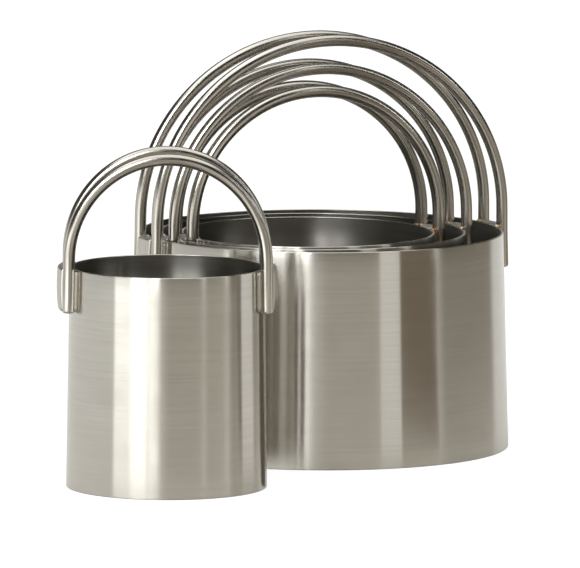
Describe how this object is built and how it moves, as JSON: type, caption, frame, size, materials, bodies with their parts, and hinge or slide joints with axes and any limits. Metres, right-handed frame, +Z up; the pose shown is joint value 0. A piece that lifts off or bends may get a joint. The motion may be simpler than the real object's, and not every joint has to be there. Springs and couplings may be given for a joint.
{
  "type": "nesting pastry cutter set",
  "caption": "Nesting set of open round steel pastry cutters in rising sizes, each a flared band with a fixed double-wire hoop handle arching over its mouth.",
  "frame": {"origin": "on the surface the set stands on, under the middle of the footprint's bounding box", "axes": "+Z up, along every cutter's axis; +X to the right as the set is seen from the front; +Y towards the back, from the small loose cutter to the nest, which is the longest side"},
  "size_m": [0.1068, 0.1396, 0.0993],
  "materials": {
    "brushed_band": "stainless strip, fine brushing round the band",
    "drawn_wire": "drawn stainless wire, satin, heat-tinted at some feet",
    "pressed_plate": "satin stainless plate with rounded edges"
  },
  "bodies": {
    "inner": {"inner_band": "brushed_band", "inner_front_wire": "drawn_wire", "inner_rear_wire": "drawn_wire", "inner_left_plate": "pressed_plate", "inner_right_plate": "pressed_plate"},
    "middle": {"middle_band": "brushed_band", "middle_front_wire": "drawn_wire", "middle_rear_wire": "drawn_wire", "middle_left_plate": "pressed_plate", "middle_right_plate": "pressed_plate"},
    "outer": {"outer_band": "brushed_band", "outer_front_wire": "drawn_wire", "outer_rear_wire": "drawn_wire", "outer_left_plate": "pressed_plate", "outer_right_plate": "pressed_plate"},
    "small": {"small_band": "brushed_band", "small_front_wire": "drawn_wire", "small_rear_wire": "drawn_wire", "small_left_plate": "pressed_plate", "small_right_plate": "pressed_plate"}
  },
  "joints": [
    {"name": "middle_lift", "type": "slide", "parent": "inner", "child": "middle", "axis": [0, 0, 1], "range_m": [0, 0.095]},
    {"name": "outer_lift", "type": "slide", "parent": "middle", "child": "outer", "axis": [0, 0, 1], "range_m": [0, 0.1]},
    {"name": "small_lift", "type": "slide", "parent": "inner", "child": "small", "axis": [0, 0, 1], "range_m": [0, 0.1]}
  ]
}
